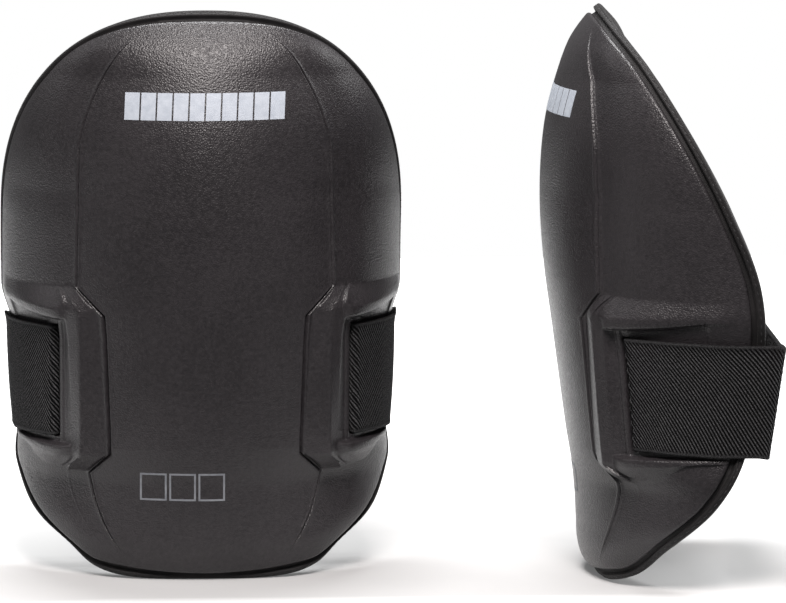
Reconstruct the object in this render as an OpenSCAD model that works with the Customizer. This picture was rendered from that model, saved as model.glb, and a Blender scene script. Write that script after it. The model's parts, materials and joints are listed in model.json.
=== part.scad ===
// Pair of moulded foam knee pads with elastic straps that close behind the knee.
// Each pad is worked out in its own frame: x runs across it, y runs back from its front-most
// point, and z runs up from its bottom edge. Pad B is the same pad again, turned to face sideways.

/* [Pad] */
// Height of a pad
pad_h = 229; // [222:1:240]
// Full width of a pad at its widest
pad_w = 161.6; // [156:0.1:168]
// Height of the widest place
wide_z = 143; // [134:1:148]
// How square the upper outline is: 2 is an ellipse
top_square = 2.32; // [2:0.01:2.8]
// How square the lower outline is: 2 is an ellipse
bottom_square = 3.95; // [3:0.05:4.5]
// How far the elastic pulls each side of the rim inwards
waist = 4; // [0:0.2:5]
// How far the two lower corners are pulled in
corner_in = 15; // [0:1:18]

/* [Layers] */
// Thickness of the foam shell
shell_t = 7; // [6:0.5:8]
// Thickness of the foam shell at the rim
shell_edge_t = 3.2; // [2.8:0.1:3.6]
// Thickness of the inner cushion
cushion_t = 7; // [6:0.5:8]
// Thickness of the inner cushion at the rim
cushion_edge_t = 2; // [1.6:0.1:2.4]
// Thickness of the lining fabric
lining_t = 0.9; // [0.6:0.1:1.2]
// Width of the bound rim
binding_w = 4.2; // [3.6:0.1:4.8]

/* [Straps] */
// Width of the elastic webbing
strap_w = 45; // [40:1:46]
// Thickness of the webbing
strap_t = 1.4; // [1.1:0.1:1.5]
// Thickness of the hook and loop patches
patch_t = 0.9; // [0.6:0.1:1]
// Height of the webbing's lower edge where it leaves the slot
strap_z = 57.5; // [56:0.5:58]
// How far the webbing drops on its way to the back
strap_drop = 2; // [0:0.5:3]

/* [Placing] */
// Where the front of pad B stands, across from pad A
pad_b_x = 135; // [134:0.5:170]
// Where the front of pad B stands, behind pad A's front
pad_b_y = 40; // [20:1:60]
// How far pad B is turned, in degrees
pad_b_turn = -90; // [-100:1:-80]
// How far the knee cup's centre is behind the front
cup_y = 18; // [16:1:20]
// Height of the knee cup's centre
cup_z = 120; // [100:1:140]

/* [Hidden] */
PIECES = ["shell", "rim_binding", "cushion", "lining",
    "loop_anchor", "loop_strap_side", "loop_strap_back", "loop_patch",
    "hook_anchor", "hook_strap_side", "hook_strap_back", "hook_tab", "hook_patch"];

foam = [0.18, 0.17, 0.17];
cloth = [0.14, 0.14, 0.15];
web = [0.1, 0.1, 0.11];
gap = 0.8;               // clearance between one layer and the next
anchor_t = 1;            // thickness of the patch sewn over each strap's inner end
anchor_room = 4.4;       // depth of the dent in the cushion that holds the sewn end
shell_trim = binding_w + gap + 0.5;

// Depth behind the front, at heights from the bottom to the top: down the middle, and along the rim
FRONT = [[0, 24.9], [2, 20.8], [6, 17.5], [13, 15.5], [22, 15], [40, 13.8], [60, 10.7], [98, 5.5],
    [127, 1.6], [154, 0], [180, 1.6], [199, 6], [213.5, 11.6], [223, 18.2], [pad_h, 24.2]];
RIM = [[0, 25.1], [6, 37], [18, 47.4], [35, 64.5], [56, 76], [90, 82.8], [123, 81.5],
    [152, 70.3], [182, 55.3], [209, 39.1], [223, 28.6], [pad_h, 24.5]];
// How square the cross-section is, at heights from the bottom to the top
SQUARE = [[0, 1.8], [20, 1.7], [40, 1.72], [54, 2.1], [64, 2.1], [108, 2.1], [122, 2.04], [156, 1.76],
    [203, 1.76], [214, 2.1], [pad_h, 2.2]];
// Half width of the centre panel, whose edge is also the inner edge of the strap housings
PANEL = [[0, 47], [17, 47.6], [43, 47.2], [51, 38.5], [108, 40.7], [119, 51.2], [pad_h, 48.8]];

// Heights on a strap housing, from the foot of its lower bevel to the top of its upper bevel
bevel_lo = 43.4;
crest_lo = 50.5;
pocket_lo = 54.5;
slot_lo = 57;
slot_hi = 103;
pocket_hi = 105.5;
crest_hi = 109;
bevel_hi = 118.8;
shelf_back_lo = 9.3;     // how far a housing's flat face lies behind the middle of the pad, at its foot
shelf_back_hi = 12.5;    // and at its top
shelf_tilt = 0.12;       // how much the flat face slopes back towards its outer edge
shelf_x = 51;            // outer edge of the flat face
rail_raise = 5;          // how far a housing's rails stand off the flank
rail_end_y = 60;         // where the rails fade out
flank_step = 0.8;        // how far the flanks lie below the edge of the centre panel
groove_d = 1.2;          // depth of the groove along the housing's inner edge
slot_front_x = 59.4;
slot_back_x = 62;

function ease(t) = let (c = max(0, min(1, t))) c * c * (3 - 2 * c);
function mix(a, b, t) = a + (b - a) * t;
function turned(p, a) = [p.x * cos(a) - p.y * sin(a), p.x * sin(a) + p.y * cos(a)];
// The value at z on a list of [z, value], joined straight or by a smooth curve
function straight(list, z) = lookup(z, list);
function last_before(list, z) = max([for (i = [0 : len(list) - 2]) if (i == 0 || z >= list[i][0]) i]);
function slope(list, i) = let (a = list[max(i - 1, 0)], b = list[min(i + 1, len(list) - 1)])
    (b[1] - a[1]) / (b[0] - a[0]);
function smooth(list, z) = let (
        i = last_before(list, z), a = list[i], b = list[i + 1],
        h = b[0] - a[0], t = max(0, min(1, (z - a[0]) / h)))
    a[1] * (1 + 2 * t) * pow(1 - t, 2) + slope(list, i) * h * t * pow(1 - t, 2)
    + b[1] * t * t * (3 - 2 * t) + slope(list, i + 1) * h * t * t * (t - 1);

// The outline, seen from the front, is two halves of superellipses
function reach_z(z) = z > wide_z ? pad_h - wide_z : wide_z;
function square_z(z) = z > wide_z ? top_square : bottom_square;
function half_w(z) = let (n = square_z(z), s = min(1, abs(z - wide_z) / reach_z(z)))
    max(0.01, pad_w / 2 * pow(1 - pow(s, n), 1 / n));
// How far out a point is, as a share of the way from the widest height's middle to the rim
function share(x, z) = let (n = square_z(z))
    pow(pow(abs(x) / (pad_w / 2), n) + pow(abs(z - wide_z) / reach_z(z), n), 1 / n);

// The base surface of the shell, before grooves, housings and the waist
function base_y(x, z) = let (m = straight(SQUARE, z), t = min(1, abs(x) / half_w(z)))
    mix(smooth(FRONT, z), smooth(RIM, z), 1 - pow(1 - pow(t, m), 1 / m));
function base(x, z) = [x, base_y(x, z), z];
function outward(x, z) = let (
        h = 0.05, side = x < 0 ? -1 : 1,
        yx = (base_y(x, z) - base_y(x - side * h, z)) / (side * h),
        yz = (base_y(x, z + h) - base_y(x, z - h)) / (2 * h))
    [yx, -1, yz] / norm([yx, -1, yz]);
// A point that stands off the base surface, and then the same with the waist pulled in
function off_base(x, z, off) = base(x, z) + off * outward(x, z);
function pulled_in(z) = waist * ease((z - 42) / 18) * ease((114 - z) / 18)
    + corner_in * exp(-pow((z - 9) / 10, 2));
function waisted(p) = [p.x * (1 - pulled_in(p.z) * 2 / pad_w * pow(2 * p.x / pad_w, 2)), p.y, p.z];

// The rim point in line with a surface point, the distance to it, and where that distance is met
function rim_point(x, z) = let (s = share(x, z), rz = wide_z + (z - wide_z) / s)
    [x / s, smooth(RIM, rz), rz];
function rim_gap(x, z) = norm(base(x, z) - rim_point(x, z));
function trim_x(z, g, lo = 0, hi = -1, n = 14) = let (top = hi < 0 ? half_w(z) : hi, m = (lo + top) / 2)
    n == 0 ? m : rim_gap(m, z) > g ? trim_x(z, g, m, top, n - 1) : trim_x(z, g, lo, m, n - 1);
function trim_z(g, end, inner, n = 14) = let (m = (end + inner) / 2)
    n == 0 ? m : rim_gap(0.01, m) > g ? trim_z(g, end, m, n - 1) : trim_z(g, m, inner, n - 1);
bottom_z = trim_z(shell_trim, 0, 20) + 0.5;
top_z = trim_z(shell_trim, pad_h, pad_h - 20) - 0.5;

// Thickness of each layer, thinner at the rim
function towards_rim(x, z) = ease((share(x, z) - 0.86) / 0.14);
function shell_here(x, z) = mix(shell_t, shell_edge_t, towards_rim(x, z));
function cushion_here(x, z) = mix(cushion_t, cushion_edge_t, towards_rim(x, z));

// How much of a strap housing, a pocket floor or a rail there is at height z
function housing(z) = ease((z - bevel_lo) / (crest_lo - bevel_lo))
    * ease((bevel_hi - z) / (bevel_hi - crest_hi));
function pocket(z) = ease((z - crest_lo) / (pocket_lo - crest_lo))
    * ease((crest_hi - z) / (crest_hi - pocket_hi));
function shelf_y(x, z) = smooth(FRONT, z) - shelf_tilt * (shelf_x - x)
    + mix(shelf_back_lo, shelf_back_hi, (z - crest_lo) / (crest_hi - crest_lo));
// The frame round the pocket, outside the flat face
function frame_point(z) = let (t = (z - pocket_lo) / (pocket_hi - pocket_lo))
    [mix(53.9, 56.4, t), mix(25.6, 20.8, t), z];

// Places across one half of the shell at height z, from the middle out to the bound rim
RIM_STEPS = 4;
// How much the places across are drawn together where the shell is narrow
function narrowed(w) = min(1, w / 76);
function across(z) = let (
        w = trim_x(z, shell_trim), k = narrowed(w), e = straight(PANEL, z), h = housing(z),
        back = slot_back_x + 4 * (1 - h))
    concat(k * [0, e / 3, e * 2 / 3, e - 1.7, e, e + 1.7,
        mix(54.5, 47.5, h), mix(57, 51, h), mix(61, slot_front_x, h), back],
        [for (i = [1 : RIM_STEPS]) mix(k * back, w, sin(90 * i / RIM_STEPS))]);
EDGE = 4;
SHELF = 6;
FRAME = 7;
SLOT = 8;
// The outer surface at place i of the list above
function carved(i, x, z) = let (
        h = housing(z), b = base(x, z), n = outward(x, z),
        rail = rail_raise * h * (1 - pocket(z)) * (1 - ease((b.y - 20) / (rail_end_y - 20))),
        step = flank_step * (1 - h) * (1 - ease((x - 52) / 14)) * (x > 30 ? 1 : 0))
    i < EDGE ? b
    : i == EDGE ? b - groove_d * h * n
    : i < SHELF ? mix(b - step * n, [x, shelf_y(x, z), z], h)
    : i == SHELF ? mix(b - step * n, [shelf_x, shelf_y(shelf_x, z), z], h)
    : i == FRAME ? mix(b - step * n, frame_point(z), h)
    : b + (rail - step) * n;
function shell_row_out(z) = let (xs = across(z)) [for (i = [0 : len(xs) - 1]) carved(i, xs[i], z)];
function shell_row_in(z) = [for (x = across(z)) off_base(x, z, -shell_here(x, z))];

// A half row and its mirror image, as one row from side to side
function both(row) = concat(
    [for (i = [len(row) - 1 : -1 : 1]) waisted([-row[i].x, row[i].y, row[i].z])],
    [for (p = row) waisted(p)]);

// A closed skin between two grids of points, with windows [first row, last row, first column, last column]
module skin(out, inn, windows = []) {
    rows = len(out);
    cols = len(out[0]);
    function id(side, r, c) = side * rows * cols + r * cols + c;
    function open(r, c) = len([for (w = windows)
        if (r >= w[0] && r < w[1] && c >= w[2] && c < w[3]) 1]) > 0;
    function quad(a, b, c, d) = [[a, b, c], [a, c, d]];
    sheets = [for (r = [0 : rows - 2], c = [0 : cols - 2]) if (!open(r, c)) each concat(
        quad(id(0, r, c), id(0, r + 1, c), id(0, r + 1, c + 1), id(0, r, c + 1)),
        quad(id(1, r, c), id(1, r, c + 1), id(1, r + 1, c + 1), id(1, r + 1, c)))];
    ends = [for (c = [0 : cols - 2]) each concat(
        quad(id(0, 0, c), id(0, 0, c + 1), id(1, 0, c + 1), id(1, 0, c)),
        quad(id(0, rows - 1, c + 1), id(0, rows - 1, c), id(1, rows - 1, c), id(1, rows - 1, c + 1)))];
    sides = [for (r = [0 : rows - 2]) each concat(
        quad(id(0, r + 1, 0), id(0, r, 0), id(1, r, 0), id(1, r + 1, 0)),
        quad(id(0, r, cols - 1), id(0, r + 1, cols - 1), id(1, r + 1, cols - 1), id(1, r, cols - 1)))];
    sills = [for (w = windows) each concat(
        [for (c = [w[2] : w[3] - 1]) each concat(
            quad(id(0, w[0], c + 1), id(0, w[0], c), id(1, w[0], c), id(1, w[0], c + 1)),
            quad(id(0, w[1], c), id(0, w[1], c + 1), id(1, w[1], c + 1), id(1, w[1], c)))],
        [for (r = [w[0] : w[1] - 1]) each concat(
            quad(id(0, r, w[2]), id(0, r + 1, w[2]), id(1, r + 1, w[2]), id(1, r, w[2])),
            quad(id(0, r + 1, w[3]), id(0, r, w[3]), id(1, r, w[3]), id(1, r + 1, w[3])))])];
    polyhedron(points = concat([for (r = out) each r], [for (r = inn) each r]),
        faces = concat(sheets, ends, sides, sills), convexity = 8);
}

// Foam shell, with a strap slot through each flank
SHELL_Z = [bottom_z, 5, 9, 15, 23, 33, 38, bevel_lo, crest_lo, pocket_lo, slot_lo, 62, 68, 80, 92, slot_hi,
    pocket_hi, crest_hi, bevel_hi, 130, 142, 154, 168, 182, 196, 207, 216, 223, top_z];
module shell() {
    half = len(across(wide_z)) - 1;
    first = search(slot_lo, SHELL_Z)[0];
    last = search(slot_hi, SHELL_Z)[0];
    color(foam) skin([for (z = SHELL_Z) both(shell_row_out(z))], [for (z = SHELL_Z) both(shell_row_in(z))],
        [[first, last, half + SLOT, half + SLOT + 1], [first, last, half - SLOT - 1, half - SLOT]]);
}

// Two layers under the shell, on a coarser grid of places
LAYER_Z = [bottom_z + 0.3, 8, 16, 24, 32, 38, 46, slot_lo - 4, slot_lo + 4, 80, slot_hi - 4, slot_hi + 4, 118,
    134, 150, 168, 186, 203, 216, top_z - 0.3];
LAYER_STEPS = 8;
function layer_xs(z) = let (w = trim_x(z, shell_trim + 0.3))
    [for (i = [0 : LAYER_STEPS]) w * sin(90 * i / LAYER_STEPS)];
function dent(x, z) = anchor_room * ease((x - 36) / 8) * ease((70 - x) / 6)
    * ease((z - slot_lo + 10) / 8) * ease((slot_hi + 10 - z) / 8);
function under_shell(x, z, deeper) = off_base(x, z, -(shell_here(x, z) + gap + deeper));
module cushion() {
    color(foam) skin(
        [for (z = LAYER_Z) both([for (x = layer_xs(z)) under_shell(x, z, dent(x, z))])],
        [for (z = LAYER_Z) both([for (x = layer_xs(z)) under_shell(x, z, cushion_here(x, z))])]);
}
module lining() {
    color(cloth) skin(
        [for (z = LAYER_Z) both([for (x = layer_xs(z)) under_shell(x, z, cushion_here(x, z) + gap)])],
        [for (z = LAYER_Z) both([for (x = layer_xs(z))
            under_shell(x, z, cushion_here(x, z) + gap + lining_t)])]);
}

// Bound rim: a rounded bead swept round the outline over the edges of all the layers
BEAD_STEPS = 96;
function ray_rim(a) = let (z = wide_z + (a > 180 ? -1 : 1), n = square_z(z))
    pow(pow(abs(cos(a)) / (pad_w / 2), n) + pow(abs(sin(a)) / reach_z(z), n), -1 / n);
function on_ray(a, s) = [0, wide_z] + s * ray_rim(a) * [cos(a), sin(a)];
function bead_share(a, lo = 0.8, hi = 1, n = 14) = let (m = (lo + hi) / 2, p = on_ray(a, m))
    n == 0 ? m : rim_gap(p.x, p.y) > binding_w ? bead_share(a, m, hi, n - 1) : bead_share(a, lo, m, n - 1);
module rim_binding() {
    stack = shell_edge_t + cushion_edge_t + lining_t + 2 * gap;
    profile = [[1, 0.2], [0.5, 0.2], [0.15, -0.6], [0, -1.8], [0, -stack + 1.4], [0.15, -stack + 0.2],
        [0.5, -stack - 0.8], [1, -stack - 0.8]];
    sections = [for (i = [0 : BEAD_STEPS - 1]) let (
            a = 360 * (i + 0.5) / BEAD_STEPS, q = on_ray(a, bead_share(a)), inner = base(q.x, q.y),
            n = outward(q.x, q.y), edge = rim_point(q.x, q.y))
        [for (p = profile) waisted(mix(edge, inner, p[0]) + p[1] * n)]];
    count = len(profile);
    faces = [for (i = [0 : BEAD_STEPS - 1], j = [0 : count - 1]) let (
            a = i * count + j, b = i * count + (j + 1) % count,
            c = (i + 1) % BEAD_STEPS * count + (j + 1) % count, d = (i + 1) % BEAD_STEPS * count + j)
        each [[a, b, c], [a, c, d]]];
    color(web) polyhedron(points = [for (s = sections) each s], faces = faces, convexity = 8);
}

// Webbing through a slot and back over the flank. Its stations are [place across, standoff].
web_off = 0.7 + strap_t / 2;
over_rim = 1.3 + strap_t / 2;
tucked = -(shell_t + 1.3 + strap_t / 2);
SIDE_PATH = [[49, tucked], [55, tucked], [59.8, tucked], [60.6, tucked + 0.35], [60.9, tucked + 1.4],
    [61, -0.2], [61.3, web_off - 0.3], [62.1, web_off], [65, web_off], [69, web_off],
    [72.5, over_rim], [75, over_rim], [77, over_rim], [78.4, over_rim], [79.3, over_rim]];
STRAP_V = strap_w / 45 * [0, 3, 8, 15, 24, 33, 40, 45];
run_z = strap_z - strap_drop;
mid_z = run_z + strap_w / 2;
back_y = 84.4;           // depth of the inner, loop half behind the knee, at its middle
lean = 7.9;              // how far the webbing leans back there, along the slope of the rim
stack_y = strap_t + 2 * patch_t + 0.4;
bend_r = 3;
hinge_x = 68;            // where each half starts to swing, either side of the middle
hinge_gap = 1.5;
function bend(a, b, c) = let (u = c - b, v = b - a,
    d = [u.x, u.y] / norm([u.x, u.y]) + [v.x, v.y] / norm([v.x, v.y]))
    [-d.y, d.x, 0] / norm(d);
PATH_END = len(SIDE_PATH) + 5;
// A station's place across at height h: in line with the slot, and then with the rim
function strap_x(x, h) = mix(x * narrowed(trim_x(h, shell_trim)),
    min(x, x * half_w(h) / (pad_w / 2) + 0.5), ease((x - 63) / 9));
// The height of station i of a line that starts at height z, as the webbing drops on its way back
function dropped(z, i) = z - strap_drop * ease((i - 7) / (PATH_END - 7));
function side_path(z, outside) = let (
        run_y = back_y + (z - strap_drop - mid_z) * tan(lean) + outside / cos(lean),
        over = [for (i = [0 : len(SIDE_PATH) - 1]) let (s = SIDE_PATH[i], h = dropped(z, i))
            waisted(off_base(strap_x(s[0], h), h, s[1]))],
        turn = [for (i = [len(SIDE_PATH) : PATH_END - 1]) let (
                h = dropped(z, i), x = waisted([half_w(h) + over_rim, 0, h]).x,
                a = 15 + 25 * (i - len(SIDE_PATH) - 1))
            i == len(SIDE_PATH) ? [x, run_y - bend_r - 1, h]
            : [x - bend_r + bend_r * cos(a), run_y - bend_r + bend_r * sin(a), h]])
    concat(over, turn, [[hinge_x + hinge_gap, run_y, dropped(z, PATH_END)]]);
function thickened(path, side) = let (last = len(path) - 1) [for (i = [0 : last])
    path[i] + side * strap_t / 2 * bend(
        path[max(0, i - 1)] - (i == 0 ? path[1] - path[0] : [0, 0, 0]), path[i],
        path[min(last, i + 1)] + (i == last ? path[last] - path[last - 1] : [0, 0, 0]))];
module strap_side(outside) {
    color(web) skin([for (v = STRAP_V) thickened(side_path(strap_z + v, outside), -1)],
        [for (v = STRAP_V) thickened(side_path(strap_z + v, outside), 1)]);
}
// The patch sewn over the strap's inner end, between the shell and the cushion
module anchor() {
    zs = [for (i = [0 : 3]) strap_z - 1 + (strap_w + 2) * i / 3];
    over = shell_t + strap_t + 1.7;
    color(cloth) skin([for (z = zs) [for (x = [47 : 3 : 59]) waisted(off_base(x, z, -over))]],
        [for (z = zs) [for (x = [47 : 3 : 59]) waisted(off_base(x, z, -over - anchor_t))]]);
}

// Behind the knee the two halves lie flat, one over the other. Each is drawn upright, with the
// middle of the loop half at the origin, and then leaned back.
tab_x = 24;              // where the hook half's free end can be peeled
tab_end = -27;
patch_inset = 1.5;
module behind_knee() translate([0, back_y, mid_z]) rotate([-lean, 0, 0]) children();
module flat_web(hinge, end, y) {
    color(web) behind_knee() translate([0, y, -strap_w / 2]) {
        translate([hinge, 0, 0]) cylinder(h = strap_w, r = strap_t / 2, $fn = 32);
        translate([min(hinge, end), -strap_t / 2, 0]) cube([abs(end - hinge), strap_t, strap_w]);
    }
}
module patch(from, to, y) {
    tall = strap_w - 2 * patch_inset;
    color(cloth) behind_knee() translate([from, y, -tall / 2]) cube([to - from, patch_t, tall]);
}
module loop_strap_back() flat_web(-hinge_x, -tab_end, 0);
module loop_patch() patch(tab_end + 4, -tab_end, strap_t / 2 + 0.05);
module hook_strap_back() flat_web(hinge_x, tab_x + 1, stack_y);
module hook_tab() flat_web(tab_x, tab_end, stack_y);
module hook_patch() patch(tab_end + 2, tab_x - 4, stack_y - strap_t / 2 - 0.05 - patch_t);

module piece(name) {
    if (name == "shell") shell();
    if (name == "rim_binding") rim_binding();
    if (name == "cushion") cushion();
    if (name == "lining") lining();
    if (name == "loop_anchor") mirror([1, 0, 0]) anchor();
    if (name == "loop_strap_side") mirror([1, 0, 0]) strap_side(0);
    if (name == "loop_strap_back") loop_strap_back();
    if (name == "loop_patch") loop_patch();
    if (name == "hook_anchor") anchor();
    if (name == "hook_strap_side") strap_side(stack_y);
    if (name == "hook_strap_back") hook_strap_back();
    if (name == "hook_tab") hook_tab();
    if (name == "hook_patch") hook_patch();
}
module pad_a(name) translate([0, -cup_y, -cup_z]) piece(name);
module pad_b(name) translate([pad_b_x, pad_b_y - cup_y, -cup_z]) rotate([0, 0, pad_b_turn]) piece(name);

for (name = PIECES) {
    pad_a(name);
    pad_b(name);
}
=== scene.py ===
"""Looks for a pair of moulded foam knee pads with elastic straps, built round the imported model."""
import json
import math

import bmesh
import bpy
import numpy as np
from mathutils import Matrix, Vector


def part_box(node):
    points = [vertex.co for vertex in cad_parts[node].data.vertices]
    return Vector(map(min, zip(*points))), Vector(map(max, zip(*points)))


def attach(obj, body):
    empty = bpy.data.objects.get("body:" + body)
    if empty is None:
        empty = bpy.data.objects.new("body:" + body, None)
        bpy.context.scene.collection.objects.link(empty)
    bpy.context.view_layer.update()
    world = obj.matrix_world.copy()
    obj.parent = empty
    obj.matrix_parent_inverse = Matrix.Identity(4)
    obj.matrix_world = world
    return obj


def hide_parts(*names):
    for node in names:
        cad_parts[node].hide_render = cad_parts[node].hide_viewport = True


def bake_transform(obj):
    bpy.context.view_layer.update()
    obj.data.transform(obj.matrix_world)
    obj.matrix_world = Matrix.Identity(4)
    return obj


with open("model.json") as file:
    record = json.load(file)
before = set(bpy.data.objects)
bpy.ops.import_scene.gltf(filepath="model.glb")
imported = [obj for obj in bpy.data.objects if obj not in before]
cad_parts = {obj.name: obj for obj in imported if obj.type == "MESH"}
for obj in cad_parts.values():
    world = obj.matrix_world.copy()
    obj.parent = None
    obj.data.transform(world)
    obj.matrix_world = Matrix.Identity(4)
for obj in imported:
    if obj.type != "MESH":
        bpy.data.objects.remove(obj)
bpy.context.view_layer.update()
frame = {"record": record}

record = frame["record"]

# ---- The pad's measures, in millimetres in its own frame: x across, y back from the front, z up ----
PAD_H, PAD_W, WIDE_Z = 229.0, 161.6, 143.0
TOP_SQUARE, BOTTOM_SQUARE, WAIST, CORNER_IN = 2.32, 3.95, 4.0, 15.0
SHELL_T, SHELL_EDGE_T, CUSHION_T, CUSHION_EDGE_T, LINING_T = 7.0, 3.2, 7.0, 2.0, 0.9
GAP, BINDING_W = 0.8, 4.2
SHELL_TRIM = BINDING_W + GAP + 0.5
CUP = np.array([0.0, 18.0, 120.0])

# Depth down the middle and along the rim, squareness of the section and half width of the
# centre panel, each at heights from the bottom to the top
FRONT = np.array([[0, 24.9], [2, 20.8], [6, 17.5], [13, 15.5], [22, 15], [40, 13.8], [60, 10.7],
                  [98, 5.5], [127, 1.6], [154, 0], [180, 1.6], [199, 6], [213.5, 11.6], [223, 18.2],
                  [PAD_H, 24.2]])
RIM = np.array([[0, 25.1], [6, 37], [18, 47.4], [35, 64.5], [56, 76], [90, 82.8], [123, 81.5],
                [152, 70.3], [182, 55.3], [209, 39.1], [223, 28.6], [PAD_H, 24.5]])
SQUARE = np.array([[0, 1.8], [20, 1.7], [40, 1.72], [54, 2.1], [64, 2.1], [108, 2.1], [122, 2.04],
                   [156, 1.76], [203, 1.76], [214, 2.1], [PAD_H, 2.2]])
PANEL = np.array([[0, 47], [17, 47.6], [43, 47.2], [51, 38.5], [108, 40.7], [119, 51.2],
                  [PAD_H, 48.8]])

# Heights on a strap housing
BEVEL_LO, CREST_LO, POCKET_LO, SLOT_LO = 43.4, 50.5, 54.5, 57.0
SLOT_HI, POCKET_HI, CREST_HI, BEVEL_HI = 103.0, 105.5, 109.0, 118.8
SHELF_BACK_LO, SHELF_BACK_HI, SHELF_TILT, SHELF_X = 9.3, 12.5, 0.12, 51.0
FRAME_LO, FRAME_HI = (53.9, 25.6), (56.4, 20.8)
SLOT_FRONT_X, SLOT_BACK_X = 59.4, 62.0
RAIL_RAISE, RAIL_END_Y, POCKET_DEEP = 5.0, 60.0, 1.0

# Straps
STRAP_W, STRAP_T, PATCH_T, STRAP_Z, STRAP_DROP = 45.0, 1.4, 0.9, 57.5, 2.0
BACK_Y, LEAN = 84.4, math.radians(7.9)
STACK_Y = STRAP_T + 2 * PATCH_T + 0.4
BEND_R, HINGE_X, HINGE_GAP, TAB_X, TAB_END = 3.0, 68.0, 1.5, 24.0, -27.0
RUN_Z = STRAP_Z - STRAP_DROP
MID_Z = RUN_Z + STRAP_W / 2


def ease(t):
    """0 below 0 and 1 above 1, with a smooth start and end."""
    c = np.clip(t, 0, 1)
    return c * c * (3 - 2 * c)


def mix(a, b, t):
    return a + (b - a) * t


def ramp(t, soft=0.08):
    """0 below 0 and 1 above 1, straight between, with rounded corners."""
    def up(v):
        return (v + np.sqrt(v * v + soft * soft)) / 2
    return np.clip(up(t) - up(t - 1), 0, 1)


def bump_at(d, width):
    """1 where d is 0, falling away over about width on both sides."""
    return np.exp(-(d / width) ** 2)


def straight(table, z):
    """The value of a table at height z, in straight steps."""
    return np.interp(z, table[:, 0], table[:, 1])


def hermite(v, slope, i, h, t):
    """A smooth curve from value i to value i + 1, which are h apart, at share t of the way."""
    return (v[i] * (1 + 2 * t) * (1 - t) ** 2 + slope[i] * h * t * (1 - t) ** 2
            + v[i + 1] * t * t * (3 - 2 * t) + slope[i + 1] * h * t * t * (t - 1))


def smooth(table, z):
    """The value of a table at height z, on a smooth curve through its rows."""
    z = np.asarray(z, float)
    at, v = table[:, 0], table[:, 1]
    last = len(v) - 1
    k = np.arange(last + 1)
    lo, hi = np.maximum(k - 1, 0), np.minimum(k + 1, last)
    slope = (v[hi] - v[lo]) / (at[hi] - at[lo])
    i = np.clip(np.searchsorted(at, z, side="right") - 1, 0, last - 1)
    h = at[i + 1] - at[i]
    t = np.clip((z - at[i]) / h, 0, 1)
    return hermite(v, slope, i, h, t)


def reach_z(z):
    return np.where(z > WIDE_Z, PAD_H - WIDE_Z, WIDE_Z)


def square_z(z):
    return np.where(z > WIDE_Z, TOP_SQUARE, BOTTOM_SQUARE)


def half_w(z):
    """Half the pad's width at height z."""
    n, s = square_z(z), np.minimum(1, np.abs(z - WIDE_Z) / reach_z(z))
    return np.maximum(0.01, PAD_W / 2 * (1 - s ** n) ** (1 / n))


def share(x, z):
    """How far out a place is: 0 at the middle of the pad and 1 on its outline."""
    n = square_z(z)
    return ((np.abs(x) / (PAD_W / 2)) ** n + (np.abs(z - WIDE_Z) / reach_z(z)) ** n) ** (1 / n)


def base_y(x, z):
    """Depth of the plain outer surface, before the panel and housings are worked into it."""
    m, t = straight(SQUARE, z), np.minimum(1, np.abs(x) / half_w(z))
    return mix(smooth(FRONT, z), smooth(RIM, z), 1 - (1 - t ** m) ** (1 / m))


def xyz(x, y, z):
    return np.stack(np.broadcast_arrays(x, y, z), axis=-1).astype(float)


def base(x, z):
    return xyz(x, base_y(x, z), z)


def outward(x, z):
    """The direction straight out of the plain surface."""
    h, side = 0.05, np.where(np.asarray(x) < 0, -1.0, 1.0)
    yx = (base_y(x, z) - base_y(x - side * h, z)) / (side * h)
    yx = np.where(np.abs(x) < h, 0, yx)
    yz = (base_y(x, z + h) - base_y(x, z - h)) / (2 * h)
    n = xyz(yx, -1.0, yz)
    return n / np.linalg.norm(n, axis=-1, keepdims=True)


def off_base(x, z, off):
    """Points off the plain surface: outwards when off is positive."""
    return base(x, z) + np.asarray(off)[..., None] * outward(x, z)


def waisted(p):
    """Points pulled in where the pad narrows at the straps and at its lower corners."""
    q = p.copy()
    x, z = p[..., 0], p[..., 2]
    pulled = WAIST * ease((z - 42) / 18) * ease((114 - z) / 18) + CORNER_IN * bump_at(z - 9, 10)
    q[..., 0] *= 1 - pulled * 2 / PAD_W * (2 * x / PAD_W) ** 2
    return q


def shelf_y(x, z):
    """Depth of the flat front of a strap housing."""
    back = mix(SHELF_BACK_LO, SHELF_BACK_HI, (z - CREST_LO) / (CREST_HI - CREST_LO))
    return smooth(FRONT, z) + back - SHELF_TILT * (SHELF_X - x)


def rim_gap(x, z):
    """Distance from a place on the surface to the rim beyond it."""
    s = np.maximum(share(x, z), 1e-6)
    rz = WIDE_Z + (z - WIDE_Z) / s
    return np.linalg.norm(base(x, z) - xyz(x / s, smooth(RIM, rz), rz), axis=-1)


def bisect(low, high, inside, steps=18):
    """Where inside(value) turns from true to false, between two arrays of values."""
    for _ in range(steps):
        middle = (low + high) / 2
        keep = inside(middle)
        low, high = np.where(keep, middle, low), np.where(keep, high, middle)
    return (low + high) / 2


def trim_x(z, gap):
    """Where the surface at height z comes within gap of the rim."""
    z = np.asarray(z, float)
    return bisect(np.zeros_like(z), half_w(z), lambda x: rim_gap(x, z) > gap)


def trim_z(gap, end, inner):
    """Where the middle of the surface comes within gap of the rim at one end."""
    return float(bisect(np.array(float(inner)), np.array(float(end)),
                        lambda z: rim_gap(np.array(0.01), z) > gap))


def towards_rim(x, z):
    return ease((share(x, z) - 0.86) / 0.14)


def shell_here(x, z):
    return mix(SHELL_T, SHELL_EDGE_T, towards_rim(x, z))


def cushion_here(x, z):
    return mix(CUSHION_T, CUSHION_EDGE_T, towards_rim(x, z))


# ---- Where the two pads stand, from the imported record's mounts ----
MOUNTS = {m["name"]: m for m in record["mounts"]}


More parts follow.
